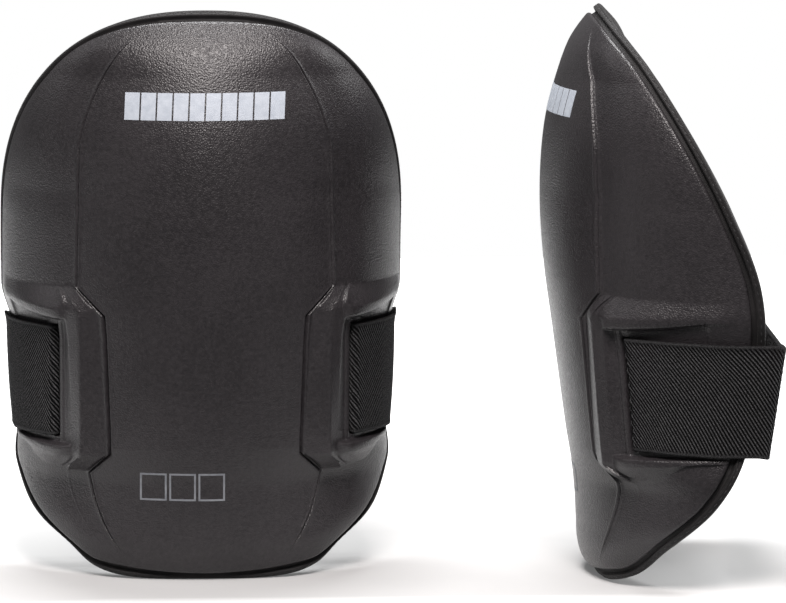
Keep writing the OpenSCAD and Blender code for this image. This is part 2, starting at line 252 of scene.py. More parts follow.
class Pad:
    def __init__(self, letter):
        mount = MOUNTS[letter + "_knee_cup"]
        ax, ay = mount["axis"][:2]
        self.letter, self.turn = letter, math.atan2(-ax, ay)
        c, s = math.cos(self.turn), math.sin(self.turn)
        self.matrix = np.array([[c, -s, 0], [s, c, 0], [0, 0, 1]])
        self.shift = np.array(mount["pos_m"]) - self.matrix @ CUP / 1000

    def place(self, points):
        """Pad-frame millimetres to row-frame metres."""
        return np.asarray(points, float) / 1000 @ self.matrix.T + self.shift

    def point(self, x, y, z):
        return tuple(self.place([x, y, z]))


PADS = [Pad("a"), Pad("b")]

# ---- Mesh helpers ----


def grid_quads(rows, cols, start=0, flip=False, skip=None):
    """Quads of a grid of points, without those in skip."""
    r, c = np.meshgrid(np.arange(rows - 1), np.arange(cols - 1), indexing="ij")
    if skip is not None:
        keep = ~skip
        r, c = r[keep], c[keep]
    a = start + r.ravel() * cols + c.ravel()
    quads = np.stack([a, a + cols, a + cols + 1, a + 1], axis=1)
    return quads[:, ::-1] if flip else quads


def strip(a, b, closed=False):
    """Quads between two lines of vertex numbers of one length."""
    a, b = np.asarray(a), np.asarray(b)
    if closed:
        a, b = np.append(a, a[0]), np.append(b, b[0])
    return np.stack([a[:-1], a[1:], b[1:], b[:-1]], axis=1)


SHARP_ANGLE = math.radians(55)
MERGE = 2e-6


def new_piece(name, points, faces, material, merge=0.0, relief=None):
    """A mesh piece. Relief, one value per point, lets its material paint shade into the hollows and highlight
    on the tops.
    """
    mesh = bpy.data.meshes.new(name)
    mesh.from_pydata(np.asarray(points).tolist(), [], [list(map(int, f)) for f in faces])
    if relief is not None:
        mesh.attributes.new("relief", "FLOAT", "POINT").data.foreach_set("value", relief.astype(np.float32))
    bm = bmesh.new()
    bm.from_mesh(mesh)
    if merge:
        bmesh.ops.remove_doubles(bm, verts=bm.verts, dist=merge)
        bmesh.ops.dissolve_degenerate(bm, edges=bm.edges, dist=merge)
    bmesh.ops.recalc_face_normals(bm, faces=bm.faces)
    bm.to_mesh(mesh)
    bm.free()
    mesh.shade_smooth()
    mesh.set_sharp_from_angle(angle=SHARP_ANGLE)
    obj = bpy.data.objects.new(name, mesh)
    bpy.context.scene.collection.objects.link(obj)
    obj.data.materials.append(material)
    return obj


def skin(out, inn, window_rows=None, window_cols=()):
    """A closed skin between two grids of points, with windows through it."""
    rows, cols = out.shape[:2]
    n = rows * cols
    ids = np.arange(n).reshape(rows, cols)
    skip = np.zeros((rows - 1, cols - 1), bool)
    parts = []
    for first, last in window_cols:
        top, bottom = window_rows[1], window_rows[0]
        skip[bottom:top, first:last] = True
        loop = np.concatenate([ids[bottom, first:last], ids[bottom:top, last],
                               ids[top, last:first:-1], ids[top:bottom:-1, first]])
        parts.append(strip(loop, loop + n, closed=True))
    rim = np.concatenate([ids[0, :-1], ids[:-1, -1], ids[-1, :0:-1], ids[:0:-1, 0]])
    parts += [grid_quads(rows, cols, 0, False, skip), grid_quads(rows, cols, n, True, skip),
              strip(rim, rim + n, closed=True)]
    return np.concatenate([out.reshape(-1, 3), inn.reshape(-1, 3)]), np.concatenate(parts)


def both_sides(half):
    """A grid over one half, from the middle out, and its mirror image, as one grid."""
    left = half[:, :0:-1].copy()
    left[..., 0] *= -1
    return np.concatenate([left, half], axis=1)


def spaced(a, b, step):
    """Places from a up to b, about step apart, without b itself."""
    return np.linspace(a, b, max(1, int(round((b - a) / step))) + 1)[:-1]


# ---- Materials ----


class Nodes:
    """A short way to write a node material."""

    def __init__(self, name, rough, spec=0.5, sheen=0.0):
        self.material = bpy.data.materials.new(name)
        self.material.use_nodes = True
        self.tree = self.material.node_tree
        self.bsdf = self.tree.nodes["Principled BSDF"]
        self.set(self.bsdf, Roughness=rough)
        self.bsdf.inputs["Specular IOR Level"].default_value = spec
        self.bsdf.inputs["Sheen Weight"].default_value = sheen
        self.bsdf.inputs["Sheen Roughness"].default_value = 0.4
        self.coord = self.add("ShaderNodeTexCoord").outputs["Object"]
        self.normal = None

    def add(self, kind, **settings):
        node = self.tree.nodes.new(kind)
        for key, value in settings.items():
            setattr(node, key, value)
        return node

    def set(self, node, **values):
        for key, value in values.items():
            socket = node.inputs[key.replace("_", " ")]
            if isinstance(value, bpy.types.NodeSocket):
                self.tree.links.new(value, socket)
            else:
                socket.default_value = value
        return node

    def noise(self, scale, detail=2.0, rough=0.5):
        n = self.add("ShaderNodeTexNoise")
        self.set(n, Vector=self.coord, Scale=scale, Detail=detail, Roughness=rough)
        return n.outputs["Fac"]

    def cells(self, scale, random=1.0):
        n = self.add("ShaderNodeTexVoronoi", feature="F1")
        self.set(n, Vector=self.coord, Scale=scale, Randomness=random)
        return n.outputs["Distance"]

    def remap(self, value, low, high, to_low=0.0, to_high=1.0):
        n = self.add("ShaderNodeMapRange")
        n.inputs["Value"].default_value = 0
        self.tree.links.new(value, n.inputs["Value"])
        for key, v in (("From Min", low), ("From Max", high), ("To Min", to_low), ("To Max", to_high)):
            n.inputs[key].default_value = v
        return n.outputs["Result"]

    def math(self, kind, a, b=0.0):
        n = self.add("ShaderNodeMath", operation=kind)
        for i, v in enumerate((a, b)):
            if isinstance(v, bpy.types.NodeSocket):
                self.tree.links.new(v, n.inputs[i])
            else:
                n.inputs[i].default_value = v
        return n.outputs[0]

    def colour(self, fac, dark, light):
        n = self.add("ShaderNodeMix", data_type="RGBA")
        self.tree.links.new(fac, n.inputs["Factor"])
        n.inputs["A"].default_value = (*dark, 1)
        n.inputs["B"].default_value = (*light, 1)
        return n.outputs["Result"]

    def bump(self, height, strength, distance):
        n = self.add("ShaderNodeBump")
        self.set(n, Height=height, Strength=strength, Distance=distance)
        if self.normal is not None:
            self.tree.links.new(self.normal, n.inputs["Normal"])
        self.normal = n.outputs["Normal"]

    def done(self, colour=None, rough=None):
        if colour is not None:
            self.tree.links.new(colour, self.bsdf.inputs["Base Color"])
        if rough is not None:
            self.tree.links.new(rough, self.bsdf.inputs["Roughness"])
        if self.normal is not None:
            self.tree.links.new(self.normal, self.bsdf.inputs["Normal"])
        return self.material


def foam_material():
    m = Nodes("foam_pebble", 0.42, spec=0.44)
    pebble = m.remap(m.cells(1350, random=1.0), 0.0, 0.7)
    fine = m.noise(1900, 3, 0.6)
    broad = m.noise(28, 3)
    blotch = m.noise(700, 3, 0.6)
    m.bump(m.math("ADD", m.math("MULTIPLY", pebble, 0.7), m.math("MULTIPLY", fine, 0.6)), 0.42, 0.0004)
    mottle = m.math("ADD", m.math("MULTIPLY", broad, 0.4), m.math("MULTIPLY", blotch, 0.6))
    colour = m.colour(m.remap(mottle, 0.38, 0.62), (0.0192, 0.0173, 0.0190), (0.0318, 0.0287, 0.0312))
    return m.done(colour, m.remap(blotch, 0.35, 0.65, 0.28, 0.40))


def binding_material():
    m = Nodes("rim_brushed", 0.6, spec=0.3, sheen=0.05)
    grain = m.noise(3200, 3, 0.6)
    wide = m.noise(160, 2)
    m.bump(grain, 0.5, 0.0004)
    return m.done(m.colour(m.remap(wide, 0.3, 0.7), (0.006, 0.0055, 0.0058), (0.012, 0.0108, 0.0114)))


def webbing_material():
    m = Nodes("webbing_twill", 0.6, spec=0.12, sheen=0.0)
    yarn = m.noise(3600, 3, 0.65)
    relief = m.add("ShaderNodeAttribute", attribute_name="relief").outputs["Fac"]
    m.bump(yarn, 0.7, 0.0004)
    # Painted light: the colour runs from near black in the rib valleys, painted shade, to light grey on the
    # crests, painted highlight, broken by the real yarn texture
    crest_painted_light = m.math("POWER", m.remap(relief, 0.50, 1.0), 2.6)
    top = m.math("MULTIPLY", crest_painted_light, m.remap(yarn, 0.38, 0.64, 0.04, 1.0))
    colour = m.colour(top, (0.0003, 0.0003, 0.0004), (0.150, 0.150, 0.156))
    return m.done(colour, m.remap(top, 0, 1, 0.85, 0.5))


def cloth_material(name, dark, light, scale=900.0, sheen=0.35):
    m = Nodes(name, 0.9, spec=0.2, sheen=sheen)
    weave = m.cells(scale, random=0.25)
    fuzz = m.noise(scale * 2.5, 3, 0.65)
    m.bump(m.math("ADD", weave, m.math("MULTIPLY", fuzz, 0.6)), 0.5, 0.0006)
    return m.done(m.colour(m.remap(m.noise(90, 3), 0.3, 0.7), dark, light))


def plain_material(name, dark, light, rough, spec=0.5, scale=1500.0, sheen=0.0):
    m = Nodes(name, rough, spec=spec, sheen=sheen)
    n = m.noise(scale, 2)
    m.bump(n, 0.25, 0.0002)
    return m.done(m.colour(m.remap(m.noise(scale / 6, 2), 0.3, 0.7), dark, light))


FOAM = foam_material()
BINDING = binding_material()
WEB = webbing_material()
LINING = cloth_material("lining_knit", (0.010, 0.010, 0.011), (0.019, 0.019, 0.021), 800)
INNER_FOAM = cloth_material("inner_foam", (0.020, 0.020, 0.021), (0.034, 0.034, 0.035), 1400, 0.1)
ANCHOR = cloth_material("anchor_cloth", (0.012, 0.012, 0.013), (0.022, 0.022, 0.024), 1100, 0.15)
PILE = cloth_material("loop_pile", (0.009, 0.009, 0.010), (0.020, 0.020, 0.022), 1900, 0.6)
HOOK = plain_material("hook_tape", (0.010, 0.010, 0.011), (0.018, 0.018, 0.019), 0.45)
THREAD = plain_material("thread", (0.010, 0.010, 0.011), (0.022, 0.022, 0.024), 0.55, 0.4, 3000, 0.2)
INK = plain_material("print_ink", (0.40, 0.44, 0.50), (0.48, 0.52, 0.58), 0.55, 0.4, 2200)
THIN_INK = plain_material("print_outline", (0.16, 0.17, 0.19), (0.22, 0.23, 0.25), 0.6, 0.4, 2200)

# ---- Foam shell ----
END_ROWS, END_REACH = 26, 20.0
bottom_z = trim_z(SHELL_TRIM, 0, 20) + 0.06
top_z = trim_z(SHELL_TRIM, PAD_H, PAD_H - 20) - 0.06


def shell_rows():
    """Nominal heights of the rows, closer together at the ends and at the housings' edges."""
    grow = 1 - np.cos(np.linspace(0, math.pi / 2, END_ROWS + 1))[:-1]
    low = bottom_z + (END_REACH - bottom_z) * grow
    high = top_z - (top_z - (PAD_H - END_REACH)) * grow[::-1]
    middle = []
    stops = [(END_REACH, 1.7), (BEVEL_LO - 0.8, 0.4), (BEVEL_LO + 0.8, 0.8), (CREST_LO - 0.8, 0.3),
             (CREST_LO + 0.8, 0.6), (POCKET_LO - 0.9, 0.3), (POCKET_LO + 0.9, 0.5), (SLOT_LO, 1.6),
             (SLOT_HI, 0.5), (POCKET_HI - 0.9, 0.3), (POCKET_HI + 0.9, 0.5), (CREST_HI - 0.8, 0.3),
             (CREST_HI + 0.8, 0.8), (BEVEL_HI - 0.8, 0.35), (BEVEL_HI + 0.8, 1.7)]
    for (a, step), (b, _) in zip(stops, stops[1:] + [(PAD_H - END_REACH, 0)]):
        middle.append(spaced(a, b, step))
    return np.concatenate([low, *middle, high])


def sloped(z, back):
    """How far a row of the flank is moved, so that rows follow the pocket's sloping edges."""
    lower = 3 * back + 7.5 * ease((back - 0.55) / 0.4)
    stops = [(20, 0), (BEVEL_LO, lower), (CREST_LO, 3.4 * back), (POCKET_LO, 0.8 * back),
             (SLOT_LO, 0), (SLOT_HI, 0), (POCKET_HI, 4.3 * back ** 1.6), (CREST_HI, 1 + 1.6 * back),
             (BEVEL_HI, -0.8 * back), (145, 0)]
    moved = np.zeros_like(z)
    for (a, va), (b, vb) in zip(stops, stops[1:]):
        here = (z >= a) & (z < b)
        moved = np.where(here, mix(va, vb, (z - a) / (b - a)), moved)
    return moved


def fractions(n):
    return np.arange(n) / n


EDGE_OFFSETS = np.array([-2.4, -1.8, -1.3, -0.95, -0.7, -0.45, -0.2, 0, 0.2, 0.45, 0.7, 0.95, 1.3])
PLACES = {}


def shell_columns(z, h, w):
    """Places across one half of the shell, with what part of the pad each is on."""
    k = np.minimum(1, w / 76)
    full = w / k
    e = straight(PANEL, z)
    shelf_end, frame_at = mix(57.0, SHELF_X, h), mix(58.5, 51.9, h)
    slot_a, slot_b = mix(61.0, SLOT_FRONT_X, h), SLOT_BACK_X + 4 * (1 - h)
    edge_y = base_y(k * slot_b, z)
    stop_y = np.minimum(RAIL_END_Y, edge_y + 0.8 * (base_y(w, z) - edge_y))
    step_at = bisect(slot_b, full, lambda x: base_y(k * x, z) < stop_y)
    step_end = bisect(step_at, full, lambda x: base_y(k * x, z) < stop_y + 1.1)
    sections = [("panel", 0 * z, e + EDGE_OFFSETS[0], 20), ("edge", None, None, len(EDGE_OFFSETS)),
                ("shelf", e + 1.6, shelf_end, 16), ("facet", shelf_end, frame_at, 9),
                ("wall", frame_at, slot_a, 16), ("slot", slot_a, slot_b, 5),
                ("flank", slot_b, step_at, 16), ("step", step_at, step_end, 4)]
    columns, at = [], 0
    for name, a, b, n in sections:
        PLACES[name] = (at, at + n)
        at += n
        columns += [e + d for d in EDGE_OFFSETS] if a is None else [mix(a, b, t) for t in fractions(n)]
    n = 16
    PLACES["rim"] = (at, at + n + 1)
    columns += [mix(step_end, full, math.sin(math.pi / 2 * i / n)) for i in range(n + 1)]
    return k, np.stack(columns, axis=1)


def polyline(t, knots, values):
    """Points along straight legs, at shares t of the knots' range."""
    out = np.zeros((*t.shape, 3))
    for (a, p), (b, q) in zip(zip(knots, values), zip(knots[1:], values[1:])):
        here = ((t >= a) & (t <= b))[..., None]
        out = np.where(here, p + (q - p) * ((t - a) / (b - a))[..., None], out)
    return out


def build_shell():
    """The foam shell: its front and back grids, with a window for each slot."""
    z0 = shell_rows()
    h0 = ramp((z0 - BEVEL_LO) / (CREST_LO - BEVEL_LO)) * ramp((BEVEL_HI - z0) / (BEVEL_HI - CREST_HI))
    k0, x0 = shell_columns(z0, h0, trim_x(z0, SHELL_TRIM))
    count = x0.shape[1]
    grid_z = np.repeat(z0[:, None], count, axis=1)
    back = np.clip((base_y(k0[:, None] * x0, grid_z) - 17) / (RAIL_END_Y - 17), 0, 1)
    from_wall = np.arange(count) >= PLACES["facet"][0]
    z = grid_z + sloped(grid_z, back) * from_wall
    # places across again, now that the rows slope
    h = np.repeat(h0[:, None], count, axis=1)
    flat = z.ravel()
    k, columns = shell_columns(flat, h.ravel(), trim_x(flat, SHELL_TRIM))
    own = np.tile(np.arange(count), len(z0))
    x_free = columns[np.arange(flat.size), own].reshape(z.shape)
    k = k.reshape(z.shape)
    x = k * x_free
    b, n = base(x, z), outward(x, z)
    yb = b[..., 1]

    edge = straight(PANEL, z)
    d = x_free - edge
    fade = ease((z0[:, None] - 8) / 16) * ease((224 - z0[:, None]) / 22)
    bead = (0.34 * bump_at(np.abs(d) - 0.85, 0.42) * (1 - 0.5 * h)
            - mix(0.75, 1.5, h) * bump_at(d, mix(0.34, 0.5, h)))
    step = 0.8 * (1 - h) * ramp(d / 1.4, 0.3) * (1 - ease((x_free - 52) / 14))
    p0 = b + ((bead - step) * fade)[..., None] * n

    pocket = ramp((z0 - POCKET_LO + 0.5) / 1.0, 0.3) * ramp((POCKET_HI + 0.5 - z0) / 1.0, 0.3)
    pocket = np.repeat(pocket[:, None], count, axis=1)
    rail = h * np.where(yb < RAIL_END_Y, mix(RAIL_RAISE, 1.1, ease((yb - 20) / (RAIL_END_Y - 20))),
                        1.1 * (1 - ease((yb - RAIL_END_Y) / 14)))
    fraction = (z - POCKET_LO) / (POCKET_HI - POCKET_LO)
    frame_at = xyz(mix(FRAME_LO[0], FRAME_HI[0], fraction), mix(FRAME_LO[1], FRAME_HI[1], fraction), z)

    out = p0.copy()

    def part(name):
        return slice(*PLACES[name])

    s = part("shelf")
    out[:, s] = mix(p0[:, s], xyz(x[:, s], shelf_y(x[:, s], z[:, s]), z[:, s]), h[:, s, None])
    s = part("facet")
    t = fractions(s.stop - s.start)[None, :, None]
    start = xyz(SHELF_X, shelf_y(SHELF_X, z[:, s]), z[:, s])
    out[:, s] = mix(p0[:, s], mix(start, frame_at[:, s], t), h[:, s, None])
    s = part("wall")
    t = np.repeat(fractions(s.stop - s.start)[None], len(z0), axis=0)
    raised = p0[:, s] + rail[:, s, None] * n[:, s]
    raised += (frame_at[:, s.start] - raised[:, 0])[:, None] * (h[:, s] * (1 - t) ** 2)[..., None]
    foot, lip_a, lip_b = 57.2, 57.8, 59.1
    zs = z[:, s]
    sunk = polyline(t, [0, 0.5, 0.62, 0.94, 1.0],
                    [frame_at[:, s]] + [off_base(across + 0 * zs, zs, high + 0 * zs) for across, high
                                        in ((foot, 0), (lip_a, 0.7), (lip_b, 0.6), (SLOT_FRONT_X, 0))])
    out[:, s] = mix(raised, sunk, (pocket * h)[:, s, None])
    s = slice(PLACES["slot"][0], count)
    floor = (POCKET_DEEP * ramp((x_free - SLOT_BACK_X - 0.5) / 2.5)
             * (1 - ramp((yb - RAIL_END_Y) / 1.1, 0.2)))
    lift = rail * (1 - pocket) - floor * pocket * h
    out[:, s] = p0[:, s] + lift[:, s, None] * n[:, s]
    # round the corners of the housing across the pad
    a, c = PLACES["shelf"][0], PLACES["wall"][1]
    for _ in range(3):
        y = out[:, a - 1:c + 1, 1].copy()
        out[:, a:c, 1] = 0.5 * y[:, 1:-1] + 0.25 * (y[:, :-2] + y[:, 2:])
    # roll the edge in towards the groove along the rim
    roll = 1.5
    near = np.clip(roll - (rim_gap(x, z) - SHELL_TRIM), 0, roll)
    out -= (roll - np.sqrt(np.maximum(roll ** 2 - near ** 2, 0)))[..., None] * n * 0.9
    inn = b - shell_here(x, z)[..., None] * n
    rows = [int(np.argmin(np.abs(z0 - v))) for v in (SLOT_LO, SLOT_HI)]
    a, c = PLACES["slot"]
    mid = count - 1
    windows = [(mid + a, mid + c), (mid - c, mid - a)]
    return skin(waisted(both_sides(out)), waisted(both_sides(inn)), rows, windows)


# ---- Bound rim ----
RIM_STATIONS = 420
STACK = SHELL_EDGE_T + CUSHION_EDGE_T + LINING_T + 2 * GAP


def outline(a):
    """Points on the rim's outline, seen from the front, at angles a round its middle."""
    z = WIDE_Z + np.where(np.sin(a) < 0, -1.0, 1.0)

    def part_of(v):
        return np.sign(v) * np.abs(v) ** (2 / square_z(z))
    return np.stack([PAD_W / 2 * part_of(np.cos(a)), reach_z(z) * part_of(np.sin(a))], axis=-1)


def even_outline(count):
    """Points evenly spaced along the rim."""
    a = np.linspace(0, 2 * math.pi, 6001)
    p = outline(a)
    q = xyz(p[:, 0], smooth(RIM, WIDE_Z + p[:, 1]), p[:, 1])
    run = np.append(0, np.cumsum(np.linalg.norm(np.diff(q, axis=0), axis=1)))
    at = np.linspace(0, run[-1], count + 1)[:-1]
    return np.stack([np.interp(at, run, p[:, 0]), np.interp(at, run, p[:, 1])], axis=-1), run[-1]


def rim_frame(count):
    """At stations round the rim: the edge, the binding's inner line and the surface's outward direction."""
    p, length = even_outline(count)
    s = bisect(np.full(count, 0.8), np.ones(count),
               lambda m: rim_gap(p[:, 0] * m, WIDE_Z + p[:, 1] * m) > BINDING_W)
    qx, qz = p[:, 0] * s, WIDE_Z + p[:, 1] * s
    ez = WIDE_Z + p[:, 1]
    return xyz(p[:, 0], smooth(RIM, ez), ez), base(qx, qz), outward(qx, qz), length


# across: 0 at the outer edge and 1 at the inner line; up: millimetres off the base surface
BINDING_PROFILE = [(1.29, -1.9), (1.1, -1.95), (1.0, -1.95), (0.88, -1.85), (0.80, -1.3),
                   (0.77, -0.5), (0.72, 0.05), (0.62, 0.3), (0.5, 0.25),
                   (0.42, 0.08), (0.34, 0.22), (0.22, 0.3), (0.1, 0.1),
                   (0.02, -0.5), (0.0, -1.4), (0.0, -3.2), (0.0, 1.4 - STACK), (0.06, 0.3 - STACK),
                   (0.2, -0.5 - STACK), (0.42, -0.95 - STACK), (0.7, -1.0 - STACK), (0.95, -0.75 - STACK),
                   (1.15, -0.3 - STACK), (1.29, 0.6 - STACK)]


def build_binding():
    """The bead round the rim, one profile swept round it."""
    edge, inner, n, _ = rim_frame(RIM_STATIONS)
    rings = np.stack([waisted(mix(edge, inner, a) + u * n) for a, u in BINDING_PROFILE], axis=1)
    count = rings.shape[1]
    ids = np.arange(RIM_STATIONS * count).reshape(RIM_STATIONS, count)
    faces = []
    for j in range(count):
        faces.append(strip(ids[:, j], ids[:, (j + 1) % count], closed=True))
    return rings.reshape(-1, 3), np.concatenate(faces)


def thread_run(line, up, side, length, gap, radius):
    """A row of short stitches along a closed line of points, which dive in at their ends."""
    ring = 6
    seg = np.linalg.norm(np.roll(line, -1, axis=0) - line, axis=1)
    run = np.append(0, np.cumsum(seg))
    closed = np.concatenate([line, line[:1]])
    ups, sides = np.concatenate([up, up[:1]]), np.concatenate([side, side[:1]])
    points, faces = [], []
    total = run[-1]
    number = int(total / (length + gap))
    pitch = total / number
    shares = np.linspace(0, 1, 5)
    for k in range(number):
        at = k * pitch + shares * length

        def along(values):
            return np.stack([np.interp(at, run, values[:, c]) for c in range(3)], axis=1)
        c, u, s = along(closed), along(ups), along(sides)
        dip = -1.7 * radius * (np.abs(2 * shares - 1) ** 3)
        c = c + u * dip[:, None]
        width = radius * np.array([0.55, 0.95, 1.0, 0.95, 0.55])
        first = len(points)
        for i in range(5):
            for j in range(ring):
                t = 2 * math.pi * j / ring
                points.append(c[i] + width[i] * (math.cos(t) * s[i] + math.sin(t) * u[i]))
        for i in range(4):
            for j in range(ring):
                a, b = first + i * ring + j, first + i * ring + (j + 1) % ring
                faces.append((a, b, b + ring, a + ring))
        faces.append([first + j for j in range(ring)])
        faces.append([first + 4 * ring + j for j in range(ring - 1, -1, -1)])
    return np.array(points), faces


def build_rim_stitches():
    """Two rows of stitches: one on the front of the binding and one on its back."""
    edge, inner, n, _ = rim_frame(RIM_STATIONS)
    inwards = inner - edge
    inwards /= np.linalg.norm(inwards, axis=1, keepdims=True)
    front = waisted(mix(edge, inner, 0.42) + 0.16 * n)
    rear = waisted(mix(edge, inner, 0.80) - (STACK + 1.02) * n)
    a, fa = thread_run(front, n, inwards, 2.3, 1.0, 0.24)
    b, fb = thread_run(rear, -n, inwards, 2.3, 1.0, 0.26)
    return np.concatenate([a, b]), fa + [[i + len(a) for i in f] for f in fb]


# ---- Cushion and lining ----


def layer_grid(rows, cols, margin=0.3):
    """Places over one half of an inner layer, closer together towards its edges."""
    low, high = trim_z(SHELL_TRIM, 0, 20) + margin, trim_z(SHELL_TRIM, PAD_H, PAD_H - 20) - margin
    t = (1 - np.cos(np.linspace(0, math.pi, rows))) / 2
    t = mix(np.linspace(0, 1, rows), t, 0.75)
    z = np.repeat((low + (high - low) * t)[:, None], cols + 1, axis=1)
    w = trim_x(z[:, 0], SHELL_TRIM)
    a = np.linspace(0, 1, cols + 1)
    across = mix(a, np.sin(math.pi / 2 * a), 0.8)
    return w[:, None] * across[None], z


def dent(x, z):
    """How far the cushion gives way to the inner end of a strap."""
    return (4.4 * ease((x - 36) / 8) * ease((70 - x) / 6)
            * ease((z - SLOT_LO + 10) / 8) * ease((SLOT_HI + 10 - z) / 8))


def build_cushion():
    x, z = layer_grid(90, 44)
    top = off_base(x, z, -(shell_here(x, z) + GAP + dent(x, z)))
    low = off_base(x, z, -(shell_here(x, z) + GAP + cushion_here(x, z)))
    return skin(waisted(both_sides(top)), waisted(both_sides(low)))


QUILT_LINES = [34.0, 62.0, 92.0, 124.0, 156.0, 186.0]
SEAM_SHARE = 0.80


def seam_distance(x, z):
    """Distance in millimetres to the nearest sewn line of the lining."""
    ring = np.abs(share(x, z) - SEAM_SHARE) * 78
    rows = np.min([np.abs(z - q - 0.0022 * x * x) for q in QUILT_LINES], axis=0)
    rows = np.where(share(x, z) < SEAM_SHARE, rows, 99)
    return np.minimum(ring, rows)


def lining_depth(x, z):
    """How deep the lining lies under the plain surface."""
    return shell_here(x, z) + cushion_here(x, z) + 2 * GAP


def puff_shape(x, z):
    """How far the lining stands out between its sewn lines."""
    near = seam_distance(x, z)
    return 2.3 * (1 - np.exp(-(near / 6.0) ** 1.3)) * ease((0.995 - share(x, z)) / 0.07)


def build_lining():
    x, z = layer_grid(150, 66)
    puff = puff_shape(x, z)
    top = off_base(x, z, -lining_depth(x, z) - 0.9 * puff)
    low = off_base(x, z, -lining_depth(x, z) - puff - LINING_T)
    return skin(waisted(both_sides(top)), waisted(both_sides(low)))


# ---- Webbing ----
WEB_OFF, OVER_RIM = 0.7 + STRAP_T / 2, 1.3 + STRAP_T / 2
TUCKED = -(SHELL_T + 1.3 + STRAP_T / 2)
SIDE_PATH = [(49, TUCKED), (55, TUCKED), (59.8, TUCKED), (60.6, TUCKED + 0.35), (60.9, TUCKED + 1.4),
             (61, -0.2), (61.3, WEB_OFF - 0.3), (62.1, WEB_OFF), (65, WEB_OFF), (69, WEB_OFF),
             (72.5, OVER_RIM), (75, OVER_RIM), (77, OVER_RIM), (78.4, OVER_RIM), (79.3, OVER_RIM)]
RIB_PITCH, RIB_STEPS, RIB_SLANT, RIB_HIGH = 1.5, 8, 0.78, 0.36
WEB_ROWS = np.array([0, 0.22, 0.6, 1.1, 1.7, 2.6, 5, 8, 11, 14, 17, 20, 23, 26, 29, 32, 35, 38, 40.5,
                     42.4, 43.3, 43.9, 44.4, 44.78, 45.0])


def web_stations(side, outside, run_xs):
    """Lines across the webbing, each a list of points over its width, from the slot to the free end."""
    v = WEB_ROWS
    turn = np.radians(np.arange(10, 91, 16))
    last = len(SIDE_PATH) + len(turn) + 1
    heights = [STRAP_Z + v - STRAP_DROP * ease((i - 7) / (last - 7)) for i in range(last + 1)]

    def along(i):
        z = heights[i]
        run_y = BACK_Y + (STRAP_Z + v - STRAP_DROP - MID_Z) * math.tan(LEAN) + outside / math.cos(LEAN)
        return z, half_w(z), run_y
    lines = []
    for i, (s, off) in enumerate(SIDE_PATH):
        z, w, _ = along(i)
        by_slot = s * np.minimum(1, trim_x(z, SHELL_TRIM) / 76)
        by_rim = np.minimum(s, s * w / (PAD_W / 2) + 0.5)
        lines.append(waisted(off_base(mix(by_slot, by_rim, ease((s - 63) / 9)), z, off + 0 * z)))
    for i in range(len(SIDE_PATH), last):
        z, w, run_y = along(i)
        x = waisted(xyz(w + OVER_RIM, 0 * z, z))[:, 0]
        if i == len(SIDE_PATH):
            lines.append(xyz(x, run_y - BEND_R - 1, z))
            continue
        a = turn[i - len(SIDE_PATH) - 1]
        lines.append(xyz(x - BEND_R + BEND_R * math.cos(a), run_y - BEND_R + BEND_R * math.sin(a), z))
    lines.append(xyz(HINGE_X + HINGE_GAP + 0 * v, run_y, heights[last]))
    c, s = math.cos(LEAN), math.sin(LEAN)
    up = v - STRAP_W / 2
    lines += [xyz(x, BACK_Y + outside * c + up * s, MID_Z - outside * s + up * c) for x in run_xs]
    lines = np.array(lines)
    lines[..., 0] *= side
    return lines


def catmull(stations, run, at):
    """Smooth points at distances at, on one line through the stations."""
    last = len(run) - 1
    k = np.arange(last + 1)
    lo, hi = np.maximum(k - 1, 0), np.minimum(k + 1, last)
    slope = (stations[hi] - stations[lo]) / (run[hi] - run[lo])[:, None]
    i = np.clip(np.searchsorted(run, at, side="right") - 1, 0, last - 1)
    h = (run[i + 1] - run[i])[:, None]
    t = ((at - run[i])[:, None] / h)
    return hermite(stations, slope, i, h, t)


def ribs(column, v):
    """Height of the twill ribs: rounded ribs with narrow valleys, flat along both selvedges."""
    phase = column / RIB_STEPS
    wave = np.abs(np.cos(math.pi * phase))[:, None]
    inside = ease((v - 1.0) / 1.2) * ease((STRAP_W - 1.0 - v) / 1.2)
    selvedge = bump_at(v - 0.75, 0.45) + bump_at(STRAP_W - 0.75 - v, 0.45)
    return RIB_HIGH * (wave ** 0.8 - 0.75) * inside[None] + 0.05 * selvedge[None]


